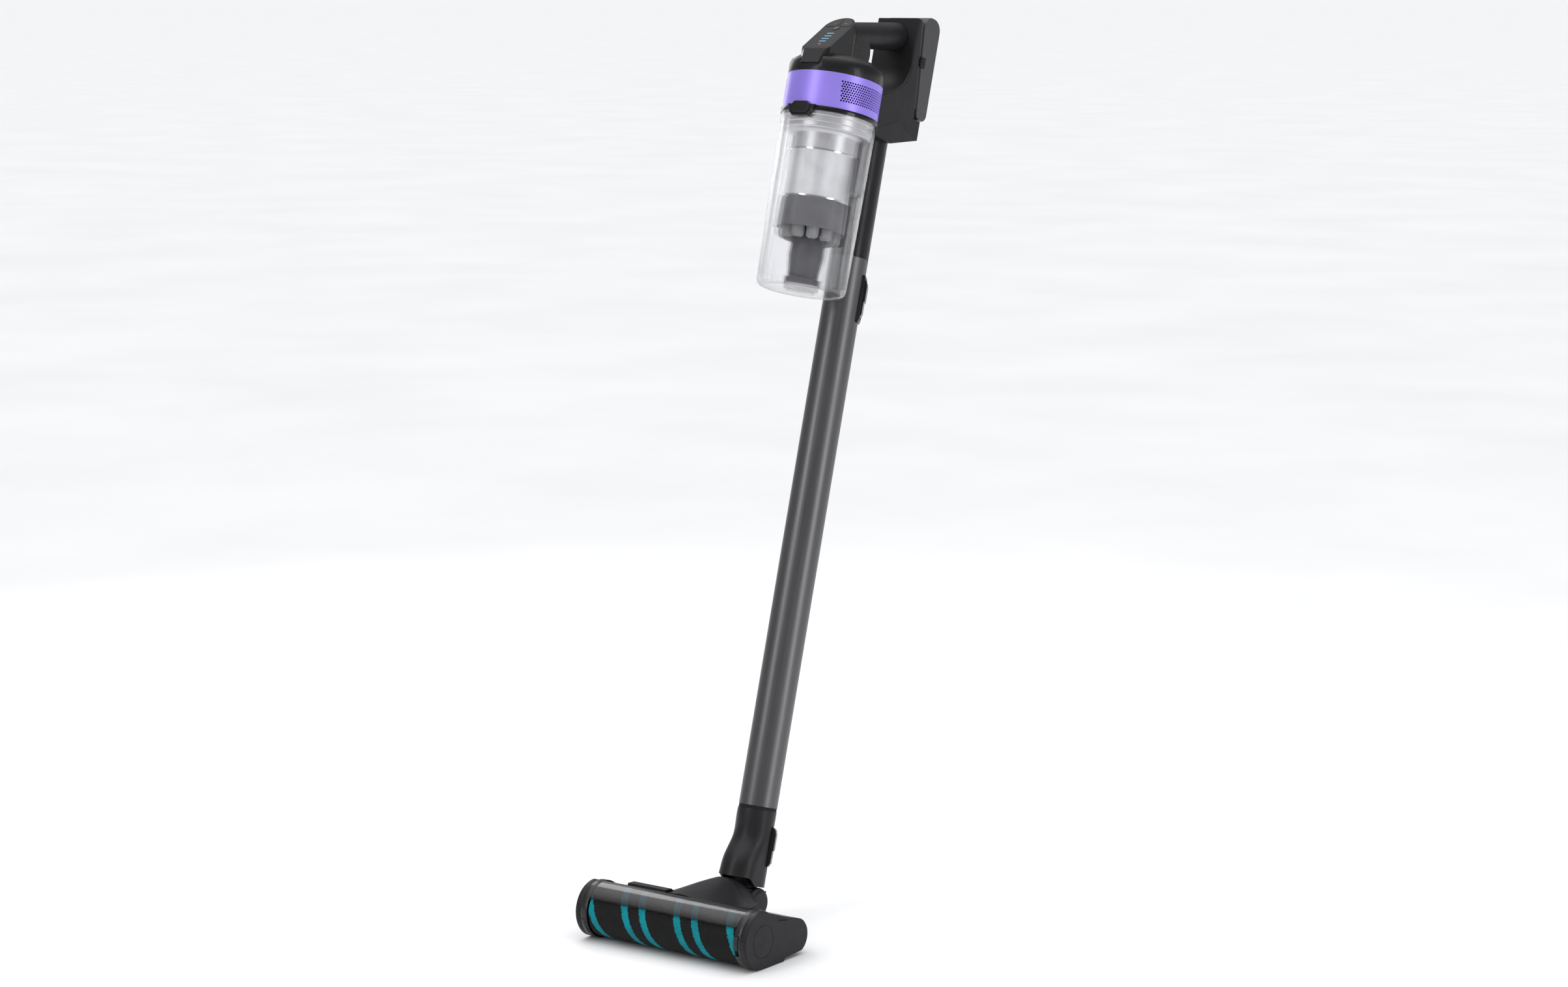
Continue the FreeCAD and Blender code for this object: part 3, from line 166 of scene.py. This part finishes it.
def brushed(name, color, stretch, rough=0.3, metallic=1.0, stick=True, contrast=0.14, depth=0.00003):
    """Metal with fine drawn lines; stretch is small along the lines and large across them."""
    material, tree, shader = new_look(name)
    coords = object_coords(tree, stick, stretch)
    lines = noise(tree, coords, 1.0, 4, 0.7)
    wide = noise(tree, object_coords(tree, stick), 14, 3)
    mixed = maths(tree, "MULTIPLY_ADD", lines, 0.8, maths(tree, "MULTIPLY", wide, 0.2))
    stops = [(0.3, tint(color, 1 - contrast)), (0.5, color), (0.7, tint(color, 1 + contrast))]
    tree.links.new(ramp(tree, mixed, stops), shader.inputs["Base Color"])
    tree.links.new(spread(tree, mixed, rough - 0.07, rough + 0.1), shader.inputs["Roughness"])
    tree.links.new(bump(tree, lines, depth), shader.inputs["Normal"])
    shader.inputs["Metallic"].default_value = metallic
    return material


def clear(name, color, rough=0.03, solidity=1.0, ior=1.46):
    """Clear moulded plastic with faint flow marks."""
    material, tree, shader = new_look(name)
    coords = object_coords(tree, True)
    cloud = noise(tree, coords, 30, 3)
    tree.links.new(ramp(tree, cloud, [(0.3, tint(color, 0.96)), (0.7, color)]), shader.inputs["Base Color"])
    tree.links.new(spread(tree, noise(tree, coords, 90, 4), rough, rough + 0.05), shader.inputs["Roughness"])
    tree.links.new(bump(tree, noise(tree, coords, 25, 1), 0.00005), shader.inputs["Normal"])
    shader.inputs["Transmission Weight"].default_value = 1.0
    shader.inputs["Alpha"].default_value = solidity
    shader.inputs["IOR"].default_value = ior
    return material


def woven_mesh(name, wire, gap):
    """Fine woven filter mesh: staggered dark openings between bright wires."""
    material, tree, shader = new_look(name)
    coords = object_coords(tree, True)
    parts = split(tree, coords)
    around = maths(tree, "ARCTAN2", parts["X"], maths(tree, "ADD", parts["Y"], -BIN_Y))
    u = maths(tree, "MULTIPLY", around, WEAVE_RADIUS / WEAVE_CELL)
    v = maths(tree, "MULTIPLY", parts["Z"], 1000 / WEAVE_CELL)
    cell_u = maths(tree, "SINE", maths(tree, "MULTIPLY", maths(tree, "ADD", u, v), 3.14159))
    cell_v = maths(tree, "SINE", maths(tree, "MULTIPLY", maths(tree, "SUBTRACT", u, v), 3.14159))
    weave = maths(tree, "MULTIPLY", cell_u, cell_v)
    height = spread(tree, weave, 0, 1, -1, 1)
    drift = noise(tree, coords, 40, 3)
    shade = maths(tree, "MULTIPLY_ADD", drift, 0.3, maths(tree, "MULTIPLY", height, 0.7))
    tree.links.new(ramp(tree, shade, [(0.25, gap), (0.6, wire)]), shader.inputs["Base Color"])
    tree.links.new(spread(tree, drift, 0.3, 0.42), shader.inputs["Roughness"])
    tree.links.new(bump(tree, height, 0.0001), shader.inputs["Normal"])
    shader.inputs["Metallic"].default_value = 0.9
    return material


def plush(name, dark, stripe):
    """Soft pile in black with helical stripes in pairs."""
    material, tree, shader = new_look(name)
    coords = object_coords(tree)
    parts = split(tree, coords)
    above = maths(tree, "ADD", parts["Z"], -ROLLER.z)
    behind = maths(tree, "ADD", parts["Y"], -ROLLER.y)
    turn = maths(tree, "ARCTAN2", above, behind)
    fray = maths(tree, "MULTIPLY_ADD", noise(tree, coords, 520, 3), 0.07, -0.035)
    turns = maths(tree, "MULTIPLY_ADD", turn, -1 / (2 * math.pi), fray)
    along = maths(tree, "MULTIPLY_ADD", parts["X"], 1 / STRIPE_PITCH, 10)
    phase = maths(tree, "FRACT", maths(tree, "ADD", along, turns))
    first = maths(tree, "COMPARE", phase, STRIPE_FIRST, STRIPE_HALF)
    second = maths(tree, "COMPARE", phase, STRIPE_SECOND, STRIPE_HALF)
    marked = maths(tree, "MAXIMUM", first, second)
    tuft = noise(tree, coords, 900, 4, 0.7)
    patch = noise(tree, coords, 70, 3)
    mixed = maths(tree, "MULTIPLY_ADD", tuft, 0.6, maths(tree, "MULTIPLY", patch, 0.4))
    pile = ramp(tree, mixed, [(0.3, tint(dark, 0.5)), (0.52, dark), (0.72, tint(dark, 2.2))])
    line = ramp(tree, mixed, [(0.3, tint(stripe, 0.55)), (0.5, stripe), (0.7, tint(stripe, 1.35))])
    mix = tree.nodes.new("ShaderNodeMix")
    mix.data_type = "RGBA"
    tree.links.new(marked, mix.inputs[0])
    tree.links.new(pile, mix.inputs[6])
    tree.links.new(line, mix.inputs[7])
    tree.links.new(mix.outputs[2], shader.inputs["Base Color"])
    tree.links.new(spread(tree, tuft, 0.8, 1.0), shader.inputs["Roughness"])
    tree.links.new(bump(tree, tuft, 0.0012), shader.inputs["Normal"])
    shader.inputs["Sheen Weight"].default_value = 0.04
    shader.inputs["Sheen Roughness"].default_value = 0.6
    shader.inputs["Specular IOR Level"].default_value = 0.15
    return material


def lit(name, color, strength):
    """Small glowing mark, a little uneven as a light guide is: lit display marks, and also the faint painted
    glow given to the printed key marks.
    """
    material, tree, shader = new_look(name)
    cloud = noise(tree, object_coords(tree), 900, 2)
    glow = ramp(tree, cloud, [(0.3, tint(color, 0.75)), (0.7, color)])
    tree.links.new(glow, shader.inputs["Base Color"])
    tree.links.new(glow, shader.inputs["Emission Color"])
    shader.inputs["Emission Strength"].default_value = strength
    tree.links.new(spread(tree, cloud, 0.3, 0.45), shader.inputs["Roughness"])
    return material


HEAD_BLACK = moulded("head_black", (0.006, 0.006, 0.007), 0.34, coat=0.15)
HOOD_BLACK = moulded("hood_black", (0.011, 0.011, 0.0125), 0.42)
SOLE = moulded("sole_plastic", (0.01, 0.01, 0.011), 0.5)
END = moulded("end_plastic", (0.011, 0.011, 0.0125), 0.45, grain=900, depth=0.00006)
RING = moulded("ring_plastic", (0.0175, 0.0175, 0.019), 0.32, coat=0.2)
LATCH = moulded("latch_plastic", (0.03, 0.03, 0.0325), 0.36)
CORE = moulded("core_plastic", (0.015, 0.015, 0.015), 0.5)
PULLEY = moulded("pulley_plastic", (0.6, 0.58, 0.53), 0.45)
RUBBER = moulded("rubber", (0.006, 0.006, 0.006), 0.7, grain=700, depth=0.00008, specular=0.3)
WHEEL = moulded("wheel_rubber", (0.025, 0.025, 0.025), 0.75, grain=500, depth=0.0001, specular=0.3)
TRUNK = moulded("trunk_black", (0.015, 0.015, 0.0165), 0.36, grain=1600)
BUTTON = moulded("button_black", (0.006, 0.006, 0.0065), 0.3, coat=0.2)
PIPE = moulded("pipe_black", (0.014, 0.014, 0.0155), 0.3)
RIM = moulded("rim_black", (0.006, 0.006, 0.0065), 0.25, coat=0.3)
BIN_LATCH = moulded("latch_black", (0.01, 0.01, 0.011), 0.3, coat=0.25)
SKIRT = moulded("skirt_grey", (0.17, 0.17, 0.175), 0.36)
CONE = moulded("cone_grey", (0.26, 0.26, 0.265), 0.36)
DUST_TUBE = moulded("dust_tube_grey", (0.11, 0.11, 0.115), 0.36)
CASING = moulded("casing_black", (0.005, 0.005, 0.005), 0.6)
CAP = moulded("cap_black", (0.009, 0.009, 0.01), 0.33, coat=0.1)
CONSOLE = moulded("console_black", (0.009, 0.009, 0.01), 0.24, coat=0.15)
DISPLAY = moulded("display_black", (0.003, 0.003, 0.0035), 0.16, grain=300, depth=0.000005, coat=0.15)
KEY = moulded("key_black", (0.0045, 0.0045, 0.005), 0.2, coat=0.2)
BOARD = moulded("board_green", (0.02, 0.14, 0.05), 0.45)
GRIP = moulded("grip_black", (0.014, 0.014, 0.0155), 0.4, grain=1100, depth=0.00008)
HOUSING = moulded("housing_grey", (0.014, 0.014, 0.0155), 0.38, grain=1300)
COVER = moulded("cover_grey", (0.016, 0.016, 0.0175), 0.36, grain=1300)
BATTERY_KEY = moulded("battery_key", (0.01, 0.01, 0.011), 0.35)
CELL = moulded("cell_sleeve", (0.04, 0.16, 0.4), 0.3)
FILTER = moulded("filter_white", (0.75, 0.75, 0.72), 0.9, grain=300, depth=0.0006)
BAND = brushed("band_purple", (0.33, 0.245, 0.84), (6, 6, 2600), rough=0.36, metallic=0.45, contrast=0.1)
TUBE = brushed("tube_metal", (0.12, 0.12, 0.125), (900, 900, 6), rough=0.36, metallic=0.9, contrast=0.07)
STEEL = brushed("motor_steel", (0.5, 0.5, 0.5), (20, 900, 900), rough=0.35, stick=False)
PIN = brushed("pin_steel", (0.6, 0.6, 0.6), (20, 1200, 1200), rough=0.25, stick=False)
COLLAR = brushed("collar_grey", (0.62, 0.62, 0.63), (10, 10, 1500), rough=0.36, metallic=0.65, contrast=0.05)
MESH_RING = brushed("mesh_ring", (0.85, 0.85, 0.85), (10, 10, 1500), rough=0.2)
BATTERY = brushed("battery_grey", (0.045, 0.045, 0.048), (1300, 1300, 5), rough=0.42, metallic=0.0,
                  depth=0.00012)
MESH = woven_mesh("mesh_metal", (0.92, 0.92, 0.93), (0.3, 0.3, 0.31))
BIN = clear("bin_clear", (0.93, 0.93, 0.95), rough=0.04, solidity=0.6, ior=1.13)
WINDOW = clear("window_clear", (0.42, 0.42, 0.43), rough=0.06)
PLUSH = plush("plush", (0.006, 0.006, 0.006), (0.0, 0.25, 0.3))
BLUE = lit("mark_blue", (0.12, 0.45, 0.65), 0.5)
RED = lit("mark_red", (0.7, 0.03, 0.03), 0.5)
# Painted glow: the grey printed key marks get a faint emission of their own, though print gives no light.
GREY_MARK_GLOW = lit("mark_grey_glow", (0.3, 0.3, 0.3), 0.1)

LOOKS = {
    "head_housing": HEAD_BLACK, "head_base": SOLE, "neck_hood": HOOD_BLACK, "roller_window": WINDOW,
    "end_cap_left": END, "end_cap_right": END, "end_ring_left": RING, "end_ring_right": RING,
    "roller_latch": LATCH, "roller_core": CORE, "roller_plush": PLUSH, "roller_pulley": PULLEY,
    "motor_pulley": PIN, "drive_belt": RUBBER, "brush_motor": STEEL, "wheel_left": WHEEL,
    "wheel_right": WHEEL, "wheel_axles": PIN, "tilt_pin": PIN, "neck_knuckle": HOOD_BLACK,
    "swivel_nut": CORE, "swivel_bush": PULLEY, "trunk": TRUNK, "brush_release_button": BUTTON,
    "gasket_ring": RUBBER, "extension_tube": TUBE, "tube_release_button": BUTTON,
    "tube_release_frame": TRUNK, "suction_pipe": PIPE, "bin_cup": BIN, "bin_rim": RIM,
    "bin_latch_button": BIN_LATCH, "cyclone_collar": COLLAR, "mesh_filter": MESH,
    "mesh_frame": MESH_RING, "cyclone_skirt": SKIRT, "cyclone_cones": CONE, "dust_tube": DUST_TUBE,
    "inlet_duct": SKIRT, "motor_casing": CASING, "exhaust_band": BAND, "motor_can": STEEL,
    "motor_rotor": PIN, "impeller": CORE, "motor_mount": RUBBER, "exhaust_filter": FILTER,
    "top_cap": CAP, "console_pod": CONSOLE, "display_panel": DISPLAY, "power_button": KEY,
    "mode_button_left": KEY, "mode_button_right": KEY, "control_board": BOARD, "handle_grip": GRIP,
    "rear_housing": HOUSING, "lower_cover": COVER, "battery_pack": BATTERY, "battery_cells": CELL,
    "battery_latch_left": BATTERY_KEY, "battery_latch_right": BATTERY_KEY,
}


def soft_edges(obj, width, segments=2):
    """Small moulded radius on the sharp edges of a piece."""
    weld = obj.modifiers.new("weld", "WELD")
    weld.merge_threshold = 0.00001
    bevel = obj.modifiers.new("bevel", "BEVEL")
    bevel.width = width
    bevel.segments = segments
    bevel.limit_method = "ANGLE"
    bevel.angle_limit = math.radians(28)
    bevel.harden_normals = True


for node_name, material in LOOKS.items():
    node = nodes[node_name]
    node.data.materials.clear()
    node.data.materials.append(material)

for node_name, width in {
    "head_housing": 0.0006, "end_ring_left": 0.0004, "end_ring_right": 0.0004, "roller_latch": 0.0003,
    "end_cap_left": 0.0005, "end_cap_right": 0.0005, "top_cap": 0.0005, "console_pod": 0.0007,
    "bin_rim": 0.0004, "lower_cover": 0.0007, "battery_latch_left": 0.0003, "battery_latch_right": 0.0003,
    "handle_grip": 0.0003, "tube_release_frame": 0.0004,
}.items():
    soft_edges(nodes[node_name], width)


# ---- piece helpers ----

def link_mesh(name, mesh, material, body):
    mesh.materials.append(material)
    obj = bpy.data.objects.new(name, mesh)
    bpy.context.scene.collection.objects.link(obj)
    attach(obj, body)
    return obj


def finish_mesh(mesh, angle=30):
    for polygon in mesh.polygons:
        polygon.use_smooth = True
    mesh.set_sharp_from_angle(angle=math.radians(angle))
    mesh.update()


# ---- perforated metallic band ----

BAND_R = 0.0575
BAND_THICK = 0.0016
BAND_LOW = 0.937
BAND_HIGH = 0.9788
BAND_REACH = math.radians(147.2)
HOLE_R = 0.0012
HOLE_PITCH = 0.00328
HOLE_ROWS = 9
HOLE_LOW = 0.9468
ROW_STEP = 0.00284
ROW_SLANT = -0.000225
HOLE_FIRST = math.radians(44.5)
HOLE_LAST = math.radians(143)
HOLE_SIDES = 12


def band_boundary():
    """Outline of the unrolled sleeve, in (around, height) metres."""
    side = BAND_REACH * BAND_R
    corners = [(-side, BAND_LOW), (side, BAND_LOW), (side, BAND_HIGH), (-side, BAND_HIGH)]
    points = []
    for start, end in zip(corners, corners[1:] + corners[:1]):
        steps = max(1, round(math.dist(start, end) / 0.002))
        for k in range(steps):
            t = k / steps
            points.append((start[0] + (end[0] - start[0]) * t, start[1] + (end[1] - start[1]) * t))
    return points


def perforated_band():
    """The band's sleeve with its two fields of round holes, rolled up from a flat sheet."""
    points = [Vector(p) for p in band_boundary()]
    edges = [(k, (k + 1) % len(points)) for k in range(len(points))]
    centres = []
    first, last = HOLE_FIRST * BAND_R, HOLE_LAST * BAND_R
    for side in (-1, 1):
        for row in range(HOLE_ROWS):
            offset = 0.5 * HOLE_PITCH if row % 2 else 0.0
            slant = ROW_SLANT * (row - HOLE_ROWS + 1)
            place = first + offset + slant
            while place < last:
                base = len(points)
                height = HOLE_LOW + ROW_STEP * row
                centre = Vector((side * place, height))
                centres.append((*centre, 0.0))
                for k in range(HOLE_SIDES):
                    turn = 2 * math.pi * k / HOLE_SIDES
                    points.append(centre + Vector((HOLE_R * math.cos(turn), HOLE_R * math.sin(turn))))
                edges += [(base + k, base + (k + 1) % HOLE_SIDES) for k in range(HOLE_SIDES)]
                place += HOLE_PITCH
    for k in range(-72, 73):
        around = k * 0.002
        if abs(around) < first - 0.003:
            for height in (0.9515, 0.957, 0.9625, 0.968, 0.9735):
                points.append(Vector((around, height)))
    flat, _, faces, *_ = delaunay_2d_cdt(points, edges, [], 1, 1e-7)
    holes = KDTree(len(centres))
    for k, centre in enumerate(centres):
        holes.insert(centre, k)
    holes.balance()
    kept = []
    for face in faces:
        middle = sum((flat[k] for k in face), Vector((0.0, 0.0))) / len(face)
        if holes.find((*middle, 0.0))[2] > HOLE_R * 0.97:
            kept.append(face)
    rolled = []
    for around, height in flat:
        turn = around / BAND_R
        local = Vector((BAND_R * math.sin(turn), BIN_Y - BAND_R * math.cos(turn), height))
        rolled.append(STICK @ local)
    mesh = bpy.data.meshes.new("band_perforated")
    mesh.from_pydata(rolled, [], kept)
    mesh.update()
    obj = bpy.data.objects.new("band_raw", mesh)
    bpy.context.scene.collection.objects.link(obj)
    axis = STICK @ Vector((0, BIN_Y, 0.95))
    outward = sum(face.normal.dot(face.center - axis) for face in mesh.polygons)
    solid = obj.modifiers.new("wall", "SOLIDIFY")
    solid.thickness = BAND_THICK
    solid.offset = -1.0 if outward > 0 else 1.0
    depsgraph = bpy.context.evaluated_depsgraph_get()
    made = bpy.data.meshes.new_from_object(obj.evaluated_get(depsgraph))
    bpy.data.objects.remove(obj)
    finish_mesh(made, 40)
    band = link_mesh("band_perforated", made, BAND, "handheld")
    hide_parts("exhaust_band")


perforated_band()


# ---- marks on the display and keys ----

def slab(name, outline, low, high, matrix, material, body):
    """Flat mark: an outline in millimetres on the panel, raised from low to high."""
    made = bmesh.new()
    verts = [made.verts.new(matrix @ Vector((x / 1000, y / 1000, high / 1000))) for x, y in outline]
    face = made.faces.new(verts)
    made.normal_update()
    outward = matrix.to_3x3() @ Vector((0, 0, 1))
    if face.normal.dot(outward) < 0:
        face.normal_flip()
    grown = bmesh.ops.extrude_face_region(made, geom=[face])
    drop = outward * (low - high) / 1000
    moved = [g for g in grown["geom"] if isinstance(g, bmesh.types.BMVert)]
    bmesh.ops.translate(made, verts=moved, vec=drop)
    bmesh.ops.recalc_face_normals(made, faces=made.faces)
    mesh = bpy.data.meshes.new(name)
    made.to_mesh(mesh)
    made.free()
    return link_mesh(name, mesh, material, body)


def bar(x0, x1, y0, y1):
    return [(x0, y0), (x1, y0), (x1, y1), (x0, y1)]


for row in range(4):
    foot = 16.5 + 6.4 * row
    widths = [(-4.8, -3.6), (-3.0, -1.4), (-0.8, 0.8), (1.4, 3.0), (3.6, 4.8)]
    for k, (x0, x1) in enumerate(widths):
        slab(f"level_mark_{row}_{k}", bar(x0, x1, foot, foot + 1.7), -0.05, 0.06, PANEL, BLUE, "handheld")
dot = []
for k in range(16):
    turn = k * math.pi / 8
    dot.append((1.5 * math.cos(turn), 10.6 + 1.5 * math.sin(turn)))
slab("alert_mark", dot, -0.05, 0.06, PANEL, RED, "handheld")


def ring_mark(name, centre, radius, width, start, end, height, material, body):
    """Open ring on the panel, such as a power sign's."""
    outer, inner = [], []
    for k in range(33):
        turn = math.radians(start + (end - start) * k / 32)
        for line, reach in ((outer, radius), (inner, radius - width)):
            line.append((centre[0] + reach * math.cos(turn), centre[1] + reach * math.sin(turn)))
    made = bmesh.new()
    rows = []
    for z in (height - 0.1, height):
        rows.append([[made.verts.new(PANEL @ Vector((x / 1000, y / 1000, z / 1000))) for x, y in line]
                     for line in (outer, inner)])
    (low_out, low_in), (high_out, high_in) = rows
    for k in range(32):
        made.faces.new((high_out[k], high_out[k + 1], high_in[k + 1], high_in[k]))
        made.faces.new((low_in[k], low_in[k + 1], low_out[k + 1], low_out[k]))
        made.faces.new((low_out[k], low_out[k + 1], high_out[k + 1], high_out[k]))
        made.faces.new((high_in[k], high_in[k + 1], low_in[k + 1], low_in[k]))
    for k in (0, 32):
        made.faces.new((low_out[k], high_out[k], high_in[k], low_in[k]))
    bmesh.ops.recalc_face_normals(made, faces=made.faces)
    mesh = bpy.data.meshes.new(name)
    made.to_mesh(mesh)
    made.free()
    return link_mesh(name, mesh, material, body)


# The grey key marks below carry a faint painted glow from their emissive grey material.
ring_mark("power_ring", (0, 49.5), 2.3, 0.45, 125, 415, 0.56, GREY_MARK_GLOW, "power_key")
slab("power_bar", bar(-0.22, 0.22, 49.7, 52.5), 0.46, 0.56, PANEL, GREY_MARK_GLOW, "power_key")
slab("left_key_mark", bar(-9.0, -6.0, 59.8, 60.3), 0.26, 0.36, PANEL, GREY_MARK_GLOW, "mode_key_left")
slab("right_key_mark", bar(6.0, 9.0, 59.8, 60.3), 0.26, 0.36, PANEL, GREY_MARK_GLOW, "mode_key_right")
slab("right_key_mark_up", bar(7.25, 7.75, 58.55, 61.55), 0.26, 0.36, PANEL, GREY_MARK_GLOW, "mode_key_right")


# ---- floor, lights, camera ----

def floor_material():
    material, tree, shader = new_look("floor_pale")
    cloud = noise(tree, object_coords(tree), 1.5, 3)
    stops = [(0.3, (0.83, 0.83, 0.835)), (0.7, (0.86, 0.86, 0.865))]
    tree.links.new(ramp(tree, cloud, stops), shader.inputs["Base Color"])
    tree.links.new(spread(tree, cloud, 0.6, 0.7), shader.inputs["Roughness"])
    return material


FLOOR_HALF = 400.0
corners = [(x * FLOOR_HALF, y * FLOOR_HALF, 0) for x, y in ((-1, -1), (1, -1), (1, 1), (-1, 1))]
floor_mesh = bpy.data.meshes.new("floor")
floor_mesh.from_pydata(corners, [], [(0, 1, 2, 3)])
floor_mesh.materials.append(floor_material())
floor = bpy.data.objects.new("floor", floor_mesh)
bpy.context.scene.collection.objects.link(floor)


def studio_world():
    """Bright ceiling over a dim room, so that dark pieces stay dark and their tops catch light."""
    world = bpy.data.worlds.new("studio")
    world.use_nodes = True
    tree = world.node_tree
    direction = tree.nodes.new("ShaderNodeTexCoord").outputs["Generated"]
    height = split(tree, direction)["Z"]
    ceiling = spread(tree, height, 0.32, 2.5, 0.6, 0.95)
    tree.links.new(ceiling, tree.nodes["Background"].inputs["Strength"])
    tree.nodes["Background"].inputs["Color"].default_value = (0.98, 0.985, 1.0, 1)
    return world


bpy.context.scene.world = studio_world()


def softbox(name, place, target, width, height, power):
    light = bpy.data.lights.new(name, "AREA")
    light.shape = "RECTANGLE"
    light.size = width
    light.size_y = height
    light.energy = power
    obj = bpy.data.objects.new(name, light)
    obj.location = place
    obj.rotation_euler = (Vector(target) - Vector(place)).to_track_quat("-Z", "Y").to_euler()
    bpy.context.scene.collection.objects.link(obj)


softbox("front_left", (-0.75, -2.4, 1.7), (0, 0.1, 0.6), 0.6, 2.0, 18)
softbox("right", (2.5, 0.15, 0.9), (0, 0.2, 0.6), 0.6, 1.8, 16)
softbox("back_left", (-1.9, 1.2, 1.6), (0, 0.2, 0.7), 0.8, 1.6, 10)

camera_data = bpy.data.cameras.new("camera")
camera_data.sensor_width = 36
camera_data.lens = 77.74
camera_data.clip_end = 1000
camera = bpy.data.objects.new("camera", camera_data)
camera.location = (2.3505, -3.0499, 1.1095)
camera.rotation_euler = (math.radians(81.5), 0, math.radians(36.1))
bpy.context.scene.collection.objects.link(camera)
bpy.context.scene.camera = camera
bpy.context.scene.view_settings.view_transform = "Standard"
